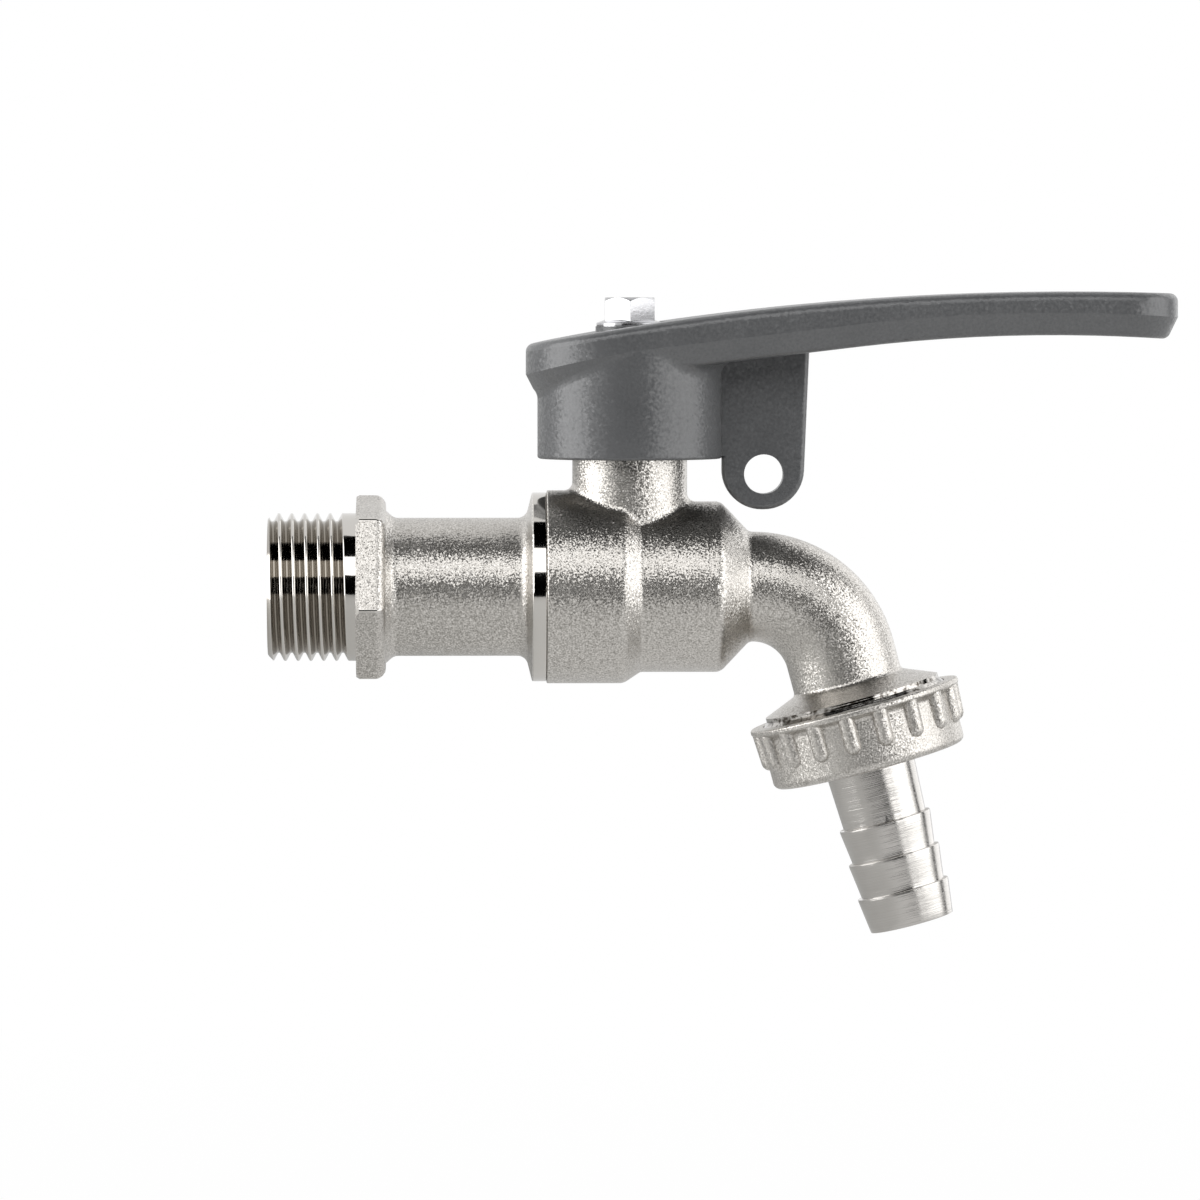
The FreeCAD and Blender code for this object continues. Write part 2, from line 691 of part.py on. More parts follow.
def lever_handle():
    """The lever casting: plate, skirt, padlock lug, hub, stop ribs and screw pad."""
    skirt = on_stem(turned([
        (skirt_z, 0, 0),
        (skirt_z, skirt_r, SKIRT_EDGE),
        (pad_z + LEVER_THICKNESS, skirt_r, 0),
        (pad_z + LEVER_THICKNESS, 0, 0),
    ])).common(under_crown(LEVER_HEAD_WALL / 2))
    casting = lever_plate().fuse(skirt).removeSplitter()
    casting = casting.makeFillet(LEVER_HEAD_COVE, head_root(casting))
    casting = casting.fuse(padlock_lug())
    hollow = on_stem(ring(skirt_z, pad_z, 0, skirt_bore_r))
    casting = casting.cut(hollow.common(under_crown(LEVER_HEAD_WALL)))
    hub = on_stem(ring(lever_z, pad_z, 0, STEM_R + LEVER_HUB_WALL))
    pad = on_stem(ring(lever_z, pad_z, 0, LEVER_PAD_R))
    half_turn = FULL_TURN / 2
    shut_rib = half_turn + STOP_HALF_ANGLE + STOP_GAP_ANGLE
    open_rib = half_turn - STOP_HALF_ANGLE - STOP_GAP_ANGLE - LEVER_TRAVEL - STOP_RIB_ANGLE
    rib_low = stop_z + SCREW_RECESS
    rib_high = lever_top(-skirt_r) - LEVER_HEAD_WALL / 2
    rib_root_r = skirt_r - SKIRT_WALL / 2
    ribs = [
        sector(boss_r + STOP_GAP, rib_root_r, rib_low, rib_high, angle, angle + STOP_RIB_ANGLE)
        for angle in (shut_rib, open_rib)
    ]
    casting = casting.fuse([hub.common(under_crown(LEVER_TOP_ROUND)), pad] + ribs)
    spot_face = on_stem(ring(pad_z, pad_z + LEVER_HEAD_WALL, 0, LEVER_PAD_R + LEVER_PAD_CLEAR))
    hole = on_stem(ring(lever_z, pad_z, 0, STEM_R + STEM_FLATS_GAP))
    hole = hole.common(flats(STEM_FLATS + 2 * STEM_FLATS_GAP, lever_z, pad_z))
    return casting.cut([spot_face, hole]).removeSplitter()


def lever_screw():
    """Hexagon screw with a washer face and a dished head."""
    top_z = pad_z + SCREW_FLANGE_HEIGHT + SCREW_HEX_HEIGHT
    hex_z = pad_z + SCREW_FLANGE_RIM
    corner_r = SCREW_HEX_AF / math.sqrt(3)
    trim = turned([
        (hex_z, 0, 0),
        (hex_z, corner_r, 0),
        (top_z - SCREW_HEX_CHAMFER, corner_r, 0),
        (top_z, SCREW_HEX_AF / 2, 0),
        (top_z, SCREW_DISH_R, 0),
        (top_z - SCREW_DISH_DEPTH, SCREW_DISH_R / 2, 0),
        (top_z - SCREW_DISH_DEPTH, 0, 0),
    ])
    head = hexagon(SCREW_HEX_AF, hex_z, top_z, 0).common(trim)
    flange_top = pad_z + SCREW_FLANGE_HEIGHT
    shank = turned([
        (pad_z - SCREW_LENGTH, 0, 0),
        (pad_z - SCREW_LENGTH, SCREW_R, 0),
        (pad_z, SCREW_R, 0),
        (pad_z, SCREW_FLANGE_R, 0),
        (hex_z, SCREW_FLANGE_R, 0),
        (flange_top, SCREW_HEX_AF / 2, 0),
        (flange_top, 0, 0),
    ])
    return on_stem(shank.fuse(head).removeSplitter())


def union_nut():
    """The nut with its rim and half-round ribs, and a lip that carries the hose tail's flange."""
    rim_end = nut_start + NUT_RIM_LENGTH
    nut_rim_r = nut_r + NUT_RIM_PROUD
    blank = turned([
        (nut_start, 0, 0),
        (nut_start, nut_rim_r, NUT_RIM_EDGE),
        (rim_end, nut_rim_r, NUT_RIM_EDGE),
        (rim_end + NUT_RIM_COVE, nut_r, NUT_RIM_COVE),
        (nut_end, nut_r, NUT_EDGE),
        (nut_end, 0, 0),
    ])
    round_r = NUT_RIB_WIDTH / 2
    crest_r = nut_r + NUT_RIB_PROUD
    top = Vector(rim_end - NUT_RIM_EDGE, crest_r - round_r, 0)
    foot = Vector(nut_start + NUT_RIB_LENGTH - round_r, crest_r - NUT_RIB_TAPER - round_r, 0)
    run = foot - top
    bar = Part.makeCylinder(round_r, run.Length, top, run).fuse(Part.makeSphere(round_r, foot))
    pitch = FULL_TURN / NUT_RIB_COUNT
    ribs = []
    for index in range(NUT_RIB_COUNT):
        rib = bar.copy()
        rib.rotate(Vector(), Vector(1, 0, 0), NUT_RIB_TURN + pitch * index)
        ribs.append(rib)
    bores = [
        ring(nut_start, lip_start, 0, nut_bore_r),
        ring(lip_start, nut_end, 0, tail_root_r + NUT_LIP_GAP),
    ]
    return on_outlet(blank.fuse(ribs).cut(bores).removeSplitter())


def hose_washer():
    return on_outlet(ring(washer_start, flange_start, seat_bore_r + HOSE_WASHER_BORE_STEP, flange_r))


def hose_tail():
    """The flanged tail with its barbs, each with a short land at its edge."""
    corners = [
        (flange_start, TAIL_BORE_R, 0),
        (flange_start, flange_r, 0),
        (flange_end, flange_r, 0),
        (flange_end, tail_root_r, 0),
        (nut_end, tail_root_r, 0),
    ]
    for index in range(BARB_COUNT):
        edge = first_barb + index * BARB_PITCH
        corners += [(edge, barb_root_r, 0), (edge, barb_r, 0), (edge + BARB_LAND, barb_r, 0)]
    end = first_barb + BARB_COUNT * BARB_PITCH
    corners += [(end, barb_root_r, 0), (end, TAIL_BORE_R, 0)]
    return on_outlet(turned(corners))


pieces = {
    "valve_body": valve_body,
    "inlet_tail": inlet_tail,
    "inlet_ball_seat": inlet_ball_seat,
    "outlet_ball_seat": outlet_ball_seat,
    "ball": ball,
    "stem": stem,
    "thrust_washer": thrust_washer,
    "packing_ring_lower": lambda: packing_ring(0),
    "packing_ring_upper": lambda: packing_ring(1),
    "gland_nut": gland_nut,
    "lever_handle": lever_handle,
    "lever_screw": lever_screw,
    "hose_washer": hose_washer,
    "hose_tail": hose_tail,
    "union_nut": union_nut,
}

os.makedirs("parts", exist_ok=True)
for name, make in pieces.items():
    solid = make()
    solid.exportStep(f"parts/{name}.step")
    print(name, "solids", len(solid.Solids), "valid", solid.isValid(), "mm3", round(solid.Volume, 1))
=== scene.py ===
# %% [markdown]
# # A lever ball valve tap
# This lesson gives a small garden tap its finished look: blasted and polished nickel, a powder coated
# lever, a bright screw and a barbed hose tail. The solids come from the CAD frame, already in place and in
# metres. What is added here is what solids leave out: cut threads, rounded and broken edges, surface
# finishes, a studio and a camera.

# %% Load the frame
import json
import math

import bpy
from mathutils import Matrix, Vector


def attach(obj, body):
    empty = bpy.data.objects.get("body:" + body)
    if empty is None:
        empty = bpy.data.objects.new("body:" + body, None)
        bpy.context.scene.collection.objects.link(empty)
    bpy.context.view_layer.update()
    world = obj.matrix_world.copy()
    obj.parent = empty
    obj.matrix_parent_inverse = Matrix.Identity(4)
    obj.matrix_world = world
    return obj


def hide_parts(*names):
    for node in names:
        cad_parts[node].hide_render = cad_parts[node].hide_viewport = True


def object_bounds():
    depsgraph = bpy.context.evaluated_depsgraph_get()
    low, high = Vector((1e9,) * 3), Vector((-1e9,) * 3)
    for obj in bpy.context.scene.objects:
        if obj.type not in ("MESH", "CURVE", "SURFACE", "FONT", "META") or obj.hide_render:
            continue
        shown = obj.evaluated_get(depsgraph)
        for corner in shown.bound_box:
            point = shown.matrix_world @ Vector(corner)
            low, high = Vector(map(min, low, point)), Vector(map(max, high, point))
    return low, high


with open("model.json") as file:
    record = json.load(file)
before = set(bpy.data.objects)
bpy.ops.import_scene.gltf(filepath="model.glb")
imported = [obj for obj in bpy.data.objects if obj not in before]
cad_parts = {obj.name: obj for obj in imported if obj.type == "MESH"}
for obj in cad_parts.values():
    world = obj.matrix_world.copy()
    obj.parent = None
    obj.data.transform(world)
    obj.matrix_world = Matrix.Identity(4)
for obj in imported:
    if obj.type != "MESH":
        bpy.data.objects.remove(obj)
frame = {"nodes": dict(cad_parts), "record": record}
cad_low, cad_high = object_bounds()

MM = 0.001
nodes = frame["nodes"]
record = frame["record"]
mounts = {mount["name"]: mount for mount in record["mounts"]}
joints = {joint["name"]: joint for joint in record["behaviour"]["joints"]}
slots = {row["node"]: row["material_slot"] for row in record["subparts"]}
print("frame holds", len(nodes), "solids, longest side", round(max(cad_high - cad_low) / MM, 1), "mm")

# %% [markdown]
# ## The camera
# The photograph was taken from the front, a little above the tap, with a long lens that keeps the barrel's
# edges parallel. The point it looks at, its height angle and the width of the picture were found by laying
# the model's outline over the photograph's. The lens length then follows from that width and the distance.

# %% Camera
CAMERA_AIM = Vector((34.54, 0, -1.89)) * MM
CAMERA_DISTANCE = 1.2
CAMERA_RISE = math.radians(2.4)
CAMERA_SIDE = math.radians(1.0)
PICTURE_WIDTH = 170.2 * MM
SENSOR = 36.0

look = Vector((
    math.sin(CAMERA_SIDE) * math.cos(CAMERA_RISE),
    math.cos(CAMERA_SIDE) * math.cos(CAMERA_RISE),
    -math.sin(CAMERA_RISE),
))
bpy.ops.object.select_all(action="DESELECT")
bpy.ops.object.camera_add(
    location=CAMERA_AIM - look * CAMERA_DISTANCE, rotation=look.to_track_quat("-Z", "Y").to_euler(),
)
camera = bpy.context.object
camera.name = "front_camera"
camera.data.sensor_width = SENSOR
camera.data.lens = SENSOR * CAMERA_DISTANCE / PICTURE_WIDTH
bpy.context.scene.camera = camera
print("lens", round(camera.data.lens, 1), "mm")

# %% [markdown]
# ## Shader sums
# A finish is a sum of patterns, so it helps to write it as a sum. A wire stands for one output socket of a
# node. Arithmetic on wires adds Math nodes, and `node` adds any other kind of node: its settings come first,
# then the values or wires of its inputs.


# %% Wires
class Wire:
    """One output socket of a node tree. Arithmetic on wires adds Math nodes."""

    def __init__(self, tree, socket=None):
        self.tree = tree
        self.socket = socket

    def node(self, kind, settings=None, inputs=None, out=0):
        new = self.tree.nodes.new(kind)
        for name, value in (settings or {}).items():
            setattr(new, name, value)
        for key, value in (inputs or {}).items():
            if isinstance(value, Wire):
                self.tree.links.new(value.socket, new.inputs[key])
            else:
                new.inputs[key].default_value = value
        return Wire(self.tree, new.outputs[out])

    def math(self, operation, *values):
        return self.node("ShaderNodeMath", {"operation": operation}, dict(enumerate(values)))

    def __add__(self, other):
        return self.math("ADD", self, other)

    def __radd__(self, other):
        return self.math("ADD", other, self)

    def __sub__(self, other):
        return self.math("SUBTRACT", self, other)

    def __mul__(self, other):
        return self.math("MULTIPLY", self, other)

    def __rmul__(self, other):
        return self.math("MULTIPLY", other, self)

    def __truediv__(self, other):
        return self.math("DIVIDE", self, other)

    def limited(self):
        """This wire held between 0 and 1."""
        return self.math("MAXIMUM", self.math("MINIMUM", self, 1.0), 0.0)

    def into(self, socket):
        """Feeds this wire into an input socket."""
        self.tree.links.new(self.socket, socket)


MIX_FIRST, MIX_SECOND, MIX_RESULT = 6, 7, 2


def mixed(factor, first, second):
    """A colour between two, by a factor from 0 to 1. A Mix node has sockets of their own for colours."""
    inputs = {"Factor": factor, MIX_FIRST: first, MIX_SECOND: second}
    return factor.node("ShaderNodeMix", {"data_type": "RGBA"}, inputs, MIX_RESULT)


print("wires ready")

# %% [markdown]
# ## The floor
# Pale paper a hand's breadth below the tap. To the camera it is nearly white, with a faint shadow near the
# tap that fades out with distance, so no horizon shows. Metal sees it as grey paper, which is what the lower
# half of the barrel mirrors. That grey holds painted light and shade: from the barrel on, a share of white
# glow is painted in, and under the inlet the paper is left darker, a painted shade. For soft light it is
# plain paper.

# %% Floor
WHITE = (1.0, 1.0, 1.0, 1.0)
FLOOR_DROP = 60 * MM
FLOOR_SIZE = 12.0
PAPER = (0.62, 0.62, 0.612, 1.0)
NEAR_WHITENESS = 0.97
MIRRORED_PAINTED_LIGHT = 0.48
FADE_REACH = 0.5
SHADE_END = 5 * MM
SHADE_REACH = 32 * MM


def stage_material(name):
    """An empty material for the studio, with its output node."""
    material = bpy.data.materials.new(name)
    material.use_nodes = True
    tree = material.node_tree
    tree.nodes.clear()
    output = tree.nodes.new("ShaderNodeOutputMaterial")
    return material, Wire(tree), output.inputs["Surface"]


def ray_kinds(start):
    """Wires that are 1 for a ray from the camera, and for one mirrored by metal or bent by glass."""
    path = start.node("ShaderNodeLightPath").socket.node
    camera_ray = Wire(start.tree, path.outputs["Is Camera Ray"])
    glossy_ray = Wire(start.tree, path.outputs["Is Glossy Ray"])
    glass_ray = Wire(start.tree, path.outputs["Is Transmission Ray"])
    return camera_ray, glossy_ray.math("MAXIMUM", glossy_ray, glass_ray)


paper, start, surface = stage_material("studio_paper")
place = start.node("ShaderNodeTexCoord", None, None, "Object")
reach = place.node("ShaderNodeVectorMath", {"operation": "LENGTH"}, {0: place}, "Value") / FADE_REACH
along = place.node("ShaderNodeSeparateXYZ", None, {0: place}, "X")
# Painted light and shade for metal: white glow painted into the paper from the barrel on, darker paper under
# the inlet.
mirrored_painted_light = MIRRORED_PAINTED_LIGHT * ((along - SHADE_END) / SHADE_REACH).limited()
seen_whiteness = NEAR_WHITENESS + (1 - NEAR_WHITENESS) * reach.limited()
seen, mirrored = ray_kinds(start)
whiteness = seen * seen_whiteness + mirrored * mirrored_painted_light
matt = start.node("ShaderNodeBsdfDiffuse", None, {"Color": PAPER})
white = start.node("ShaderNodeEmission", None, {"Color": WHITE, "Strength": 1.0})
start.node("ShaderNodeMixShader", None, {0: whiteness, 1: matt, 2: white}).into(surface)

bpy.ops.object.select_all(action="DESELECT")
floor_z = cad_low.z - FLOOR_DROP
bpy.ops.mesh.primitive_plane_add(size=FLOOR_SIZE, location=(0, 0, floor_z))
floor = bpy.context.object
floor.name = "studio_floor"
floor.data.materials.append(paper)
print("floor at", round(floor_z / MM, 1), "mm")

# %% [markdown]
# ## Lights and black cloth
# Polished metal is a picture of the room round it. The bands on the thread and the rim give the room away: a
# light box above the camera, black cloth below and above that box, bright panels to the left, to the right
# and behind. So each is a card at the height and turn where the metal mirrors it. The camera looks through
# the cards.

# %% Cards
CARDS = {
    # name: (turn from the camera's side, half width, lower and upper height, metres away, strength)
    # The first four are in degrees, and a card of strength 0 is black.
    "cloth_low": (0, 30, -10, 20, 0.62, 0.0),
    "cloth_high": (0, 39, 50, 88, 0.62, 0.0),
    "cloth_side": (38, 8, 9, 44, 0.62, 0.3),
    "cloth_back": (111, 4, -9, 40, 0.62, 0.0),
    "light_front": (0, 34, 20, 50, 0.62, 2.2),
    "light_low_right": (38, 8, -9, 9, 0.62, 2.4),
    "light_right": (72, 26, -9, 44, 0.62, 2.4),
    "light_behind": (136, 18, -9, 44, 0.62, 1.6),
    "light_left": (-78, 24, -9, 44, 0.62, 3.6),
    "strip_left": (-58, 2, -22, -6, 0.25, 2.0),
}


def card(name, turn, half_width, low, high, distance, strength):
    """A card that faces the tap. A plane of size 2 is scaled by half of the card's sides."""
    material, start, surface = stage_material(name + "_sheet")
    start.node("ShaderNodeEmission", None, {"Color": WHITE, "Strength": strength}).into(surface)
    turn, half_width, low, high = (math.radians(angle) for angle in (turn, half_width, low, high))
    rise = (low + high) / 2
    away = Vector((math.sin(turn) * math.cos(rise), -math.cos(turn) * math.cos(rise), math.sin(rise)))
    bpy.ops.object.select_all(action="DESELECT")
    bpy.ops.mesh.primitive_plane_add(
        size=2, location=CAMERA_AIM + away * distance, rotation=away.to_track_quat("Z", "Y").to_euler(),
    )
    piece = bpy.context.object
    piece.name = name
    piece.scale = (distance * math.tan(half_width), distance * math.tan((high - low) / 2), 1)
    piece.data.materials.append(material)
    piece.visible_camera = False


for name, values in CARDS.items():
    card(name, *values)
print("cards", len(CARDS))

# %% [markdown]
# ## The room
# White walls all round. The camera and the metal see them at full white, and they light the tap a little
# less, so that the panels still give it shape.

# %% Room
ROOM_LIGHT = 0.5
world = bpy.data.worlds.new("studio")
bpy.context.scene.world = world
world.use_nodes = True
background = world.node_tree.nodes["Background"]
background.inputs["Color"].default_value = WHITE
seen, mirrored = ray_kinds(Wire(world.node_tree))
direct = seen.math("MAXIMUM", seen, mirrored)
(ROOM_LIGHT + (1 - ROOM_LIGHT) * direct).into(background.inputs["Strength"])
bpy.context.scene.view_settings.view_transform = "Standard"
print("room light", ROOM_LIGHT)

# %% [markdown]
# ## Tools for finishes
# Every finish starts from one shader and from the place on the object in metres, so a pattern keeps its
# true size on every piece. Noise at a stated size makes spots, and a bump tilts the surface by them. Grains
# lean the surface by a random direction of their own, so they glint alike each way, as dents from loose grit
# do.

# %% Finish tools
NOISE_MIDDLE = 0.5
SPOT_DETAIL = 2.0
GRAIN_DETAIL = 1.0


def new_finish(name, **constants):
    """A material with its shader's constant sockets set, and a wire of the place on the object."""
    material = bpy.data.materials.new(name)
    material.use_nodes = True
    shader = material.node_tree.nodes["Principled BSDF"]
    for socket, value in constants.items():
        shader.inputs[socket].default_value = value
    place = Wire(material.node_tree).node("ShaderNodeTexCoord", None, None, "Object")
    return material, shader.inputs, place


def spots(place, size, detail=SPOT_DETAIL):
    """Soft random spots about one size across."""
    return place.node("ShaderNodeTexNoise", None, {"Vector": place, "Scale": 1 / size, "Detail": detail})


def bumped(height, depth):
    """The surface tilted by a height from 0 to 1 over a real depth."""
    return height.node("ShaderNodeBump", None, {"Height": height, "Distance": depth})


def grained(place, size, lean):
    """The surface leaned a random way in each grain of one size."""
    noise = {"Vector": place, "Scale": 1 / size, "Detail": GRAIN_DETAIL}
    colour = place.node("ShaderNodeTexNoise", None, noise, "Color")
    middle = (NOISE_MIDDLE, NOISE_MIDDLE, NOISE_MIDDLE)
    both_ways = place.node("ShaderNodeVectorMath", {"operation": "SUBTRACT"}, {0: colour, 1: middle})
    upright = place.node("ShaderNodeNewGeometry", None, None, "Normal")
    parts = {0: both_ways, 1: (lean, lean, lean), 2: upright}
    leaned = place.node("ShaderNodeVectorMath", {"operation": "MULTIPLY_ADD"}, parts)
    return place.node("ShaderNodeVectorMath", {"operation": "NORMALIZE"}, {0: leaned})


def rings(place, axis, spacing):
    """Random rings round an axis, as a lathe tool leaves them."""
    along = place.node("ShaderNodeVectorMath", {"operation": "DOT_PRODUCT"}, {0: place, 1: axis}, "Value")
    noise = {"W": along / spacing, "Scale": 1.0}
    return place.node("ShaderNodeTexNoise", {"noise_dimensions": "1D"}, noise)


print("finish tools ready")

# %% [markdown]
# ## Blasted nickel
# The body, the nut and the inlet's neck are cast brass that was blasted with grit and then nickel plated.
# The plating is bright, but every grain of grit left a dent, so the metal mirrors the room in specks. Leaning
# grains of about a quarter of a millimetre give those specks, over a middling roughness for the grit too fine
# to see. Roughness alone would blur the mirrored bands into a plain grey. The nut and the bores are duller,
# so they get a rougher copy.

# %% Blasted nickel
NICKEL = (0.74, 0.715, 0.68, 1.0)
NICKEL_SHADE = (0.30, 0.285, 0.262, 1.0)
BLASTED_ROUGHNESS = 0.27
DULL_ROUGHNESS = 0.35
BLASTED_DRIFT = 0.07
BLASTED_CLOUD = 6 * MM
GRIT = 0.24 * MM
GRIT_LEAN = 0.9
GRIT_CONTRAST = 2.6
GRIT_SHARE = 0.85


def blasted_nickel(name, roughness):
    material, shader, place = new_finish(name, Metallic=1.0)
    clouds = spots(place, BLASTED_CLOUD)
    grains = NOISE_MIDDLE + GRIT_CONTRAST * (spots(place, GRIT) - NOISE_MIDDLE)
    both = (1 - GRIT_SHARE) * clouds + GRIT_SHARE * grains
    mixed(both, NICKEL_SHADE, NICKEL).into(shader["Base Color"])
    (roughness + BLASTED_DRIFT * clouds).into(shader["Roughness"])
    grained(place, GRIT, GRIT_LEAN).into(shader["Normal"])
    return material


finishes = {"cast_nickel": blasted_nickel("blasted_nickel", BLASTED_ROUGHNESS)}
dull_finish = blasted_nickel("dull_nickel", DULL_ROUGHNESS)
print("grit", GRIT / MM, "mm")

# %% [markdown]
# ## Turned nickel
# The thread, the rim and the hose tail were cut on a lathe and plated without blasting. The tool leaves rings
# round the axis, fine on the rim and coarse on the hose tail. They tilt the surface along the axis alone, so
# the mirrored room is smeared that way and stays sharp across it. Shade is painted into the inlet's thread:
# its colour darkens from the crests to the roots. Dark patches are painted onto the outlet's land and thread
# beside the nut, a painted shade where the nut and the flare meet.

# %% Turned nickel
BRIGHT_NICKEL = (0.62, 0.60, 0.57, 1.0)
TURNED_SHADE = (0.56, 0.54, 0.51, 1.0)
TAIL_NICKEL = (0.68, 0.66, 0.635, 1.0)
TAIL_NICKEL_SHADE = (0.38, 0.365, 0.345, 1.0)
# Painted shade for the roots of the inlet's thread.
ROOT_PAINTED_SHADE = (0.29, 0.265, 0.23, 1.0)
# Painted shade for the outlet's land and thread beside the nut, in dark patches.
LAND_PAINTED_SHADE = (0.07, 0.06, 0.05, 1.0)
SHADE_PATCH = 0.7 * MM
SHADE_PATCH_START = 0.45
SHADE_PATCH_CONTRAST = 5.0
TURNED_DRIFT = 0.05
TURNED_CLOUD = 5 * MM
RING_SHARE = 0.5
PIPE_PITCH = 1.814 * MM
THREAD_DEPTH = 0.640327 * PIPE_PITCH
inlet_axis = Vector(mounts["inlet_thread"]["axis"])
inlet_r = mounts["inlet_thread"]["dims"]["r_mm"] * MM
outlet_axis = Vector(joints["union_slide"]["axis"])


def above_roots(place):
    """From 0 at the roots of the inlet's thread to 1 at its crests, the mask of the shade painted into the
    roots.
    """
    across = place.node("ShaderNodeVectorMath", {"operation": "MULTIPLY"}, {0: place, 1: (0, 1, 1)})
    radius = across.node("ShaderNodeVectorMath", {"operation": "LENGTH"}, {0: across}, "Value")
    height = (radius - (inlet_r - THREAD_DEPTH)) / THREAD_DEPTH
    return height.limited()


def turned_nickel(name, axis, spacing, depth, roughness, colours, painted_root_shade=False, painted_shade_patches=False):
    material, shader, place = new_finish(name, Metallic=1.0)
    clouds = spots(place, TURNED_CLOUD)
    lines = rings(place, axis, spacing)
    colour = mixed((1 - RING_SHARE) * clouds + RING_SHARE * lines, *colours)
    # Painted shade: the colour darkens from the thread's crests to its roots.
    if painted_root_shade:
        colour = mixed(above_roots(place), ROOT_PAINTED_SHADE, colour)
    # Painted shade: dark patches on the land and the thread beside the nut.
    if painted_shade_patches:
        shade_patches = SHADE_PATCH_CONTRAST * (spots(place, SHADE_PATCH) - SHADE_PATCH_START)
        colour = mixed(shade_patches, colour, LAND_PAINTED_SHADE)
    colour.into(shader["Base Color"])
    (roughness + TURNED_DRIFT * clouds).into(shader["Roughness"])
    bumped(lines, depth).into(shader["Normal"])
    return material


finishes["turned_nickel"] = turned_nickel(
    "turned_nickel", inlet_axis, spacing=0.12 * MM, depth=0.002 * MM, roughness=0.05,
    colours=(TURNED_SHADE, BRIGHT_NICKEL), painted_root_shade=True,
)
finishes["bright_nickel"] = turned_nickel(
    "brushed_nickel", outlet_axis, spacing=0.1 * MM, depth=0.018 * MM, roughness=0.1,
    colours=(TAIL_NICKEL_SHADE, TAIL_NICKEL),
)
outlet_finish = turned_nickel(
    "turned_outlet", outlet_axis, spacing=0.2 * MM, depth=0.02 * MM, roughness=0.06,
    colours=(TAIL_NICKEL_SHADE, BRIGHT_NICKEL), painted_shade_patches=True,
)
print("turned finishes", finishes["turned_nickel"].name, finishes["bright_nickel"].name, outlet_finish.name)

# %% [markdown]
# ## Powder coat
# The lever is die cast and powder coated in dark grey. Baked powder flows into a shallow orange peel, a
# little under half a millimetre across and semi-gloss, which breaks the panels' reflections into small
# glints.

# %% Powder coat
COAT = (0.118, 0.12, 0.123, 1.0)
COAT_SHADE = (0.052, 0.054, 0.057, 1.0)
COAT_GLOSS = 0.8
COAT_ROUGHNESS = 0.3
COAT_DRIFT = 0.06
COAT_CLOUD = 9 * MM
PEEL = 0.42 * MM
PEEL_LEAN = 0.45
PEEL_SHARE = 0.6


def powder_coat():
    material, shader, place = new_finish("grey_powder_coat", **{"Specular IOR Level": COAT_GLOSS})
    clouds = spots(place, COAT_CLOUD)
    both = (1 - PEEL_SHARE) * clouds + PEEL_SHARE * spots(place, PEEL)
    mixed(both, COAT_SHADE, COAT).into(shader["Base Color"])
    (COAT_ROUGHNESS + COAT_DRIFT * clouds).into(shader["Roughness"])
    grained(place, PEEL, PEEL_LEAN).into(shader["Normal"])
    return material


finishes["grey_coating"] = powder_coat()
print("orange peel", PEEL / MM, "mm")

# %% [markdown]
# ## Zinc, chrome, brass, seals
# The screw is steel with bright zinc. Inside, a chromed ball turns between two white seat rings on a brass
# stem with white packing, and a black rubber washer seals the hose tail. They all share one recipe: two
# shades mixed by clouds, a roughness that drifts with them, and a shallow grain.

# %% Small parts
CLOUD_DETAIL = 3.0
SMALL_FINISHES = {
    # slot: (metallic, shade, colour, roughness, its drift, cloud size, grain size, grain depth), sizes in mm
    "zinc_steel": (1.0, (0.40, 0.40, 0.41, 1), (0.54, 0.54, 0.55, 1), 0.12, 0.12, 1.6, 0.4, 0.010),
    "polished_chrome": (1.0, (0.72, 0.72, 0.73, 1), (0.80, 0.80, 0.81, 1), 0.03, 0.05, 3.0, 0.3, 0.001),
    "bare_brass": (1.0, (0.60, 0.42, 0.18, 1), (0.74, 0.55, 0.27, 1), 0.22, 0.20, 3.0, 0.2, 0.010),
    "ptfe": (0.0, (0.80, 0.80, 0.78, 1), (0.88, 0.88, 0.87, 1), 0.35, 0.15, 2.0, 0.25, 0.010),
    "black_rubber": (0.0, (0.018, 0.018, 0.018, 1), (0.03, 0.03, 0.03, 1), 0.60, 0.20, 1.5, 0.2, 0.020),
}
for slot, row in SMALL_FINISHES.items():
    metallic, shade, colour, roughness, drift, cloud, grain, depth = row
    material, shader, place = new_finish(slot + "_finish", Metallic=metallic)
    clouds = spots(place, cloud * MM, CLOUD_DETAIL)
    mixed(clouds, shade, colour).into(shader["Base Color"])
    (roughness + drift * clouds).into(shader["Roughness"])
    bumped(spots(place, grain * MM), depth * MM).into(shader["Normal"])
    finishes[slot] = material

for name, node in nodes.items():
    node.material_slots[0].material = finishes[slots[name]]
nodes["union_nut"].material_slots[0].material = dull_finish
print("finishes", len(finishes), "on", len(nodes), "solids")

# %% [markdown]
# ## Skins that can be worked on
# A solid arrives as loose triangles. To cut or bevel it, its mesh is copied and the doubled points are merged
# into one closed skin. Where edges are to be bevelled, flat fans of triangles are first dissolved into whole
# faces. The copy then stands for the solid.

# %% Skins
MERGE_GAP = 0.002 * MM
FLAT_ANGLE = math.radians(0.05)
SHARP_ANGLE = math.radians(28)


def activate(piece):
    bpy.ops.object.select_all(action="DESELECT")
    piece.select_set(True)
    bpy.context.view_layer.objects.active = piece


def apply_modifiers(piece):
    activate(piece)
    for modifier in list(piece.modifiers):
        bpy.ops.object.modifier_apply(modifier=modifier.name)


def merge_points(piece, dissolve=False):
    activate(piece)
    bpy.ops.object.mode_set(mode="EDIT")
    bpy.ops.mesh.select_all(action="SELECT")
    bpy.ops.mesh.remove_doubles(threshold=MERGE_GAP)
    if dissolve:
        bpy.ops.mesh.dissolve_limited(angle_limit=FLAT_ANGLE)
    bpy.ops.object.mode_set(mode="OBJECT")


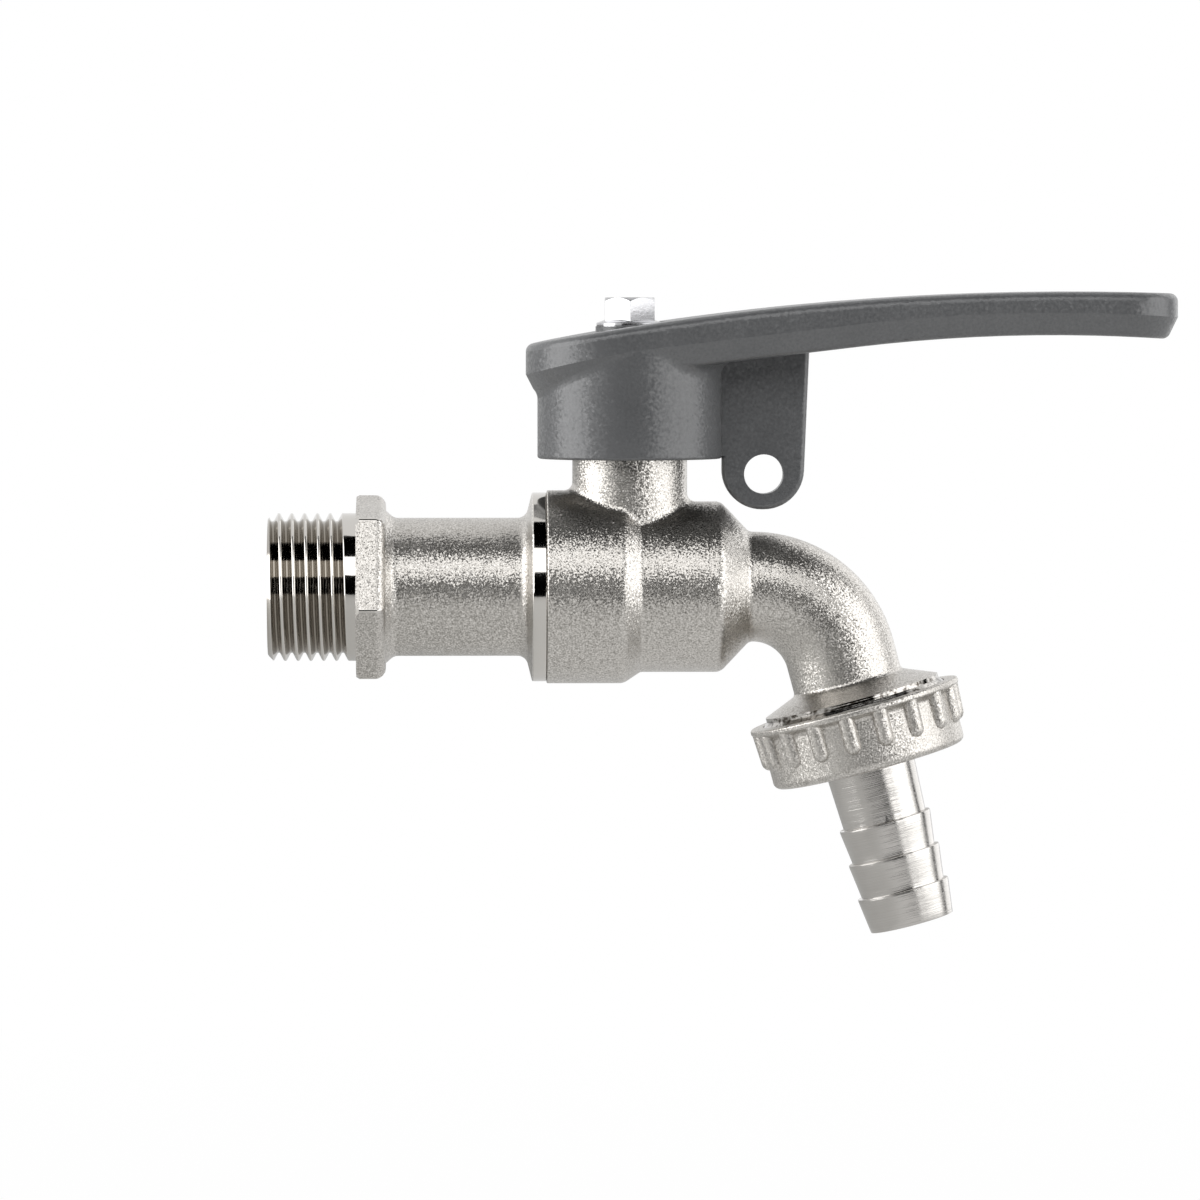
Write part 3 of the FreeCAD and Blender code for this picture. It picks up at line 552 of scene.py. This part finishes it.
def skin(node, name, body, dissolve=False):
    """A new piece that stands for a solid, with a merged copy of its mesh, and rides on a body."""
    piece = bpy.data.objects.new(name, nodes[node].data.copy())
    bpy.context.collection.objects.link(piece)
    activate(piece)
    bpy.ops.mesh.customdata_custom_splitnormals_clear()
    merge_points(piece, dissolve)
    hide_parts(node)
    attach(piece, body)
    return piece


def smooth(piece):
    """Smooth shading with corners kept sharp, and flat faces kept flat beside their rounded edges."""
    activate(piece)
    bpy.ops.object.shade_smooth_by_angle(angle=SHARP_ANGLE)
    weighted = piece.modifiers.new("flat_faces", "WEIGHTED_NORMAL")
    weighted.keep_sharp = True
    apply_modifiers(piece)


def open_edges(piece):
    """Edges that don't have a face on both sides. A closed skin has none."""
    uses = {}
    for polygon in piece.data.polygons:
        for key in polygon.edge_keys:
            uses[key] = uses.get(key, 0) + 1
    return sum(1 for count in uses.values() if count != 2)


print("skins can be made of", len(nodes), "solids")

# %% [markdown]
# ## The thread tool
# A lathe cuts a pipe thread with one V shaped tool that moves along the bar as the bar turns. The same is
# done here. A circle is shaped into the tool's outline and the Screw modifier sweeps it along a helix. The
# standard form has flanks of 27.5 degrees, and its crests and roots are rounded by 0.137 of the pitch, which
# is why a crest shows as a thin bright line. At both ends the sweep is lifted out of the bar over a quarter
# turn, so a groove runs out instead of stopping at a wall.

# %% Thread tool
THREAD_ROUND = 0.137329 * PIPE_PITCH
ROOT_LEANS = (62.5, 37.5, 12.5)
CREST_LEANS = (62.5, 38, 14)
TOOL_RISE = 0.1 * MM
STEPS_PER_TURN = 72
RUN_OUT_STEPS = 18


def tool_side(radius):
    """Half of the tool's outline, from the root up: places across the groove and from the axis."""
    root_centre = radius - THREAD_DEPTH + THREAD_ROUND
    crest_centre = radius - THREAD_ROUND
    side = []
    for lean in sorted(math.radians(angle) for angle in ROOT_LEANS):
        side.append((THREAD_ROUND * math.sin(lean), root_centre - THREAD_ROUND * math.cos(lean)))
    for lean in (math.radians(angle) for angle in CREST_LEANS):
        across = PIPE_PITCH / 2 - THREAD_ROUND * math.sin(lean)
        side.append((across, crest_centre + THREAD_ROUND * math.cos(lean)))
    side.append((side[-1][0], radius + TOOL_RISE))
    return side


def thread_tool(radius, first, turns):
    """The path of a thread tool round the X axis. It starts above the axis at x = first, right-handed."""
    side = tool_side(radius)
    outline = side + [(-across, out) for across, out in reversed(side)]
    corners = len(outline)
    depth = side[-1][1] - side[0][1]
    bpy.ops.object.select_all(action="DESELECT")
    bpy.ops.mesh.primitive_circle_add(
        vertices=corners, radius=radius, fill_type="NOTHING", location=(0, 0, 0),
    )
    tool = bpy.context.object
    for corner, (across, out) in zip(tool.data.vertices, outline):
        corner.co = (first + across, 0, out)
    screw = tool.modifiers.new("helix", "SCREW")
    screw.axis = "X"
    screw.angle = math.tau * turns
    screw.screw_offset = PIPE_PITCH * turns
    screw.steps = round(STEPS_PER_TURN * turns)
    screw.render_steps = screw.steps
    apply_modifiers(tool)
    last = len(tool.data.vertices) // corners - 1
    for index, point in enumerate(tool.data.vertices):
        step = index // corners
        lift = max(0, 1 - min(step, last - step) / RUN_OUT_STEPS) * depth
        reach = math.hypot(point.co.y, point.co.z)
        point.co.yz = point.co.yz * ((reach + lift) / reach)
    bpy.ops.object.mode_set(mode="EDIT")
    bpy.ops.mesh.select_all(action="SELECT")
    bpy.ops.mesh.fill_holes(sides=corners)
    bpy.ops.mesh.normals_make_consistent(inside=False)
    bpy.ops.object.mode_set(mode="OBJECT")
    return tool


def cut(piece, tool):
    """Takes the tool's path out of the piece."""
    groove = piece.modifiers.new("groove", "BOOLEAN")
    groove.operation = "DIFFERENCE"
    groove.solver = "EXACT"
    groove.object = tool
    apply_modifiers(piece)
    bpy.data.objects.remove(tool)
    merge_points(piece)


print("pitch", PIPE_PITCH / MM, "mm, depth", THREAD_DEPTH / MM, "mm")

# %% [markdown]
# ## The inlet's hexagon
# A spanner turns the inlet by its hexagon. Its six corners are rounded and rubbed smooth, and each rounding
# mirrors a strip of black cloth, which draws a thin dark line between two flats. The corners are the sharp
# edges that lie in one plane with the axis. They are given a weight, and the Bevel modifier rounds those
# alone.

# %% Hexagon
COLLAR_END = -0.02 * MM
HEXAGON_END = 6 * MM
HEXAGON_REACH = 11 * MM
HEXAGON_EDGE = 0.33 * MM
HEXAGON_STEPS = 6
SAME_PLANE = 0.001


def break_edges(piece, width, steps, limit):
    """Rounds the sharp edges of a piece (limit ANGLE), or those that have a weight (limit WEIGHT)."""
    bevel = piece.modifiers.new("broken_edges", "BEVEL")
    bevel.width = width
    bevel.segments = steps
    bevel.limit_method = limit
    bevel.angle_limit = SHARP_ANGLE
    apply_modifiers(piece)


def weigh_corners(piece):
    """Gives the hexagon's corners a weight, and says how many edges they have."""
    normals = {}
    for polygon in piece.data.polygons:
        for key in polygon.edge_keys:
            normals.setdefault(key, []).append(polygon.normal)
    weights = piece.data.attributes.new("bevel_weight_edge", "FLOAT", "EDGE")
    for edge, weight in zip(piece.data.edges, weights.data):
        first, second = (piece.data.vertices[index].co for index in edge.vertices)
        middle = (first + second) / 2
        one, other = normals[edge.key]
        in_plane = first.yz.angle(second.yz, math.pi) < SAME_PLANE
        on_hexagon = COLLAR_END < middle.x < HEXAGON_END and middle.yz.length > HEXAGON_REACH
        weight.value = float(in_plane and on_hexagon and one.angle(other) > SHARP_ANGLE)
    return sum(1 for weight in weights.data if weight.value)


inlet = skin("inlet_tail", "threaded_inlet", "tap_body", dissolve=True)
print("corner edges", weigh_corners(inlet))
break_edges(inlet, HEXAGON_EDGE, HEXAGON_STEPS, "WEIGHT")
print("inlet skin, open edges", open_edges(inlet))

# %% [markdown]
# ## The inlet's thread
# The inlet has a half-inch pipe thread, which is cut until it runs out into a plain collar in front of the
# hexagon. Thread, collar, rim and the hexagon's corners are polished, the rest of the hexagon and the neck
# are blasted, and the bore is dull, so the faces are shared out between three finishes by where they lie.

# %% Inlet
LAST_GROOVE = -2.78 * MM
WHOLE_TURNS = 7
INLET_TURNS = 7.8
RIM_START = 24.85 * MM
RUBBED_REACH = 13.1 * MM
BORE_REACH = 7.5 * MM
POLISHED, BLASTED = 0, 1


def dull_bore(piece, through, axis, reach):
    """Dull plating on the faces nearer than a reach to the axis through a place."""
    piece.data.materials.append(dull_finish)
    for polygon in piece.data.polygons:
        out = polygon.center - through
        if (out - axis * out.dot(axis)).length < reach:
            polygon.material_index = len(piece.data.materials) - 1


cut(inlet, thread_tool(inlet_r, LAST_GROOVE - WHOLE_TURNS * PIPE_PITCH, INLET_TURNS))
smooth(inlet)
inlet.data.materials.clear()
inlet.data.materials.append(finishes["turned_nickel"])
inlet.data.materials.append(finishes["cast_nickel"])
for polygon in inlet.data.polygons:
    centre = polygon.center
    corner = centre.x < HEXAGON_END and centre.yz.length > RUBBED_REACH
    blasted = COLLAR_END < centre.x < RIM_START and not corner
    polygon.material_index = BLASTED if blasted else POLISHED
dull_bore(inlet, Vector(), inlet_axis, BORE_REACH)
print("threaded inlet", len(inlet.data.polygons), "faces, open edges", open_edges(inlet))

# %% [markdown]
# ## The body's outlet
# The casting is blasted, but its outlet is turned: a narrow land under the flare and a short thread for the
# nut. The tool is made along X like the first one and then moved onto the outlet's axis.

# %% Outlet
OUTLET_R = 13.2 * MM
FIRST_GROOVE = 7.9 * MM
OUTLET_TURNS = 2.7
LAND_START = 6.0 * MM

bend_end = Vector(joints["nut_turn"]["pos_m"])
turn = Vector((1, 0, 0)).rotation_difference(outlet_axis)
body = skin("valve_body", "threaded_body", "tap_body")
print("body skin, open edges", open_edges(body))
tool = thread_tool(OUTLET_R, FIRST_GROOVE, OUTLET_TURNS)
tool.data.transform(Matrix.Translation(bend_end) @ turn.to_matrix().to_4x4())
cut(body, tool)
smooth(body)
body.data.materials.append(outlet_finish)
for polygon in body.data.polygons:
    if (polygon.center - bend_end).dot(outlet_axis) > LAND_START:
        polygon.material_index = len(body.data.materials) - 1
print("threaded body", len(body.data.polygons), "faces, open edges", open_edges(body))

# %% [markdown]
# ## Broken edges
# No machined edge is a perfect corner. The screw's hexagon and the edges of the hose tail's barbs are broken
# by a fraction of a millimetre, and that thin strip catches a line of light or dark that outlines the piece.

# %% Screw and hose tail
SCREW_EDGE = 0.22 * MM
BARB_EDGE = 0.05 * MM
EDGE_STEPS = 3
TAIL_BORE_REACH = 4.6 * MM


def edged(node, name, body, width):
    """A skin with all its sharp edges broken."""
    piece = skin(node, name, body, dissolve=True)
    break_edges(piece, width, EDGE_STEPS, "ANGLE")
    smooth(piece)
    print(name, len(piece.data.polygons), "faces, open edges", open_edges(piece))
    return piece


edged("lever_screw", "bright_screw", "lever", SCREW_EDGE)
tail = edged("hose_tail", "barbed_tail", "tail", BARB_EDGE)
dull_bore(tail, bend_end, outlet_axis, TAIL_BORE_REACH)
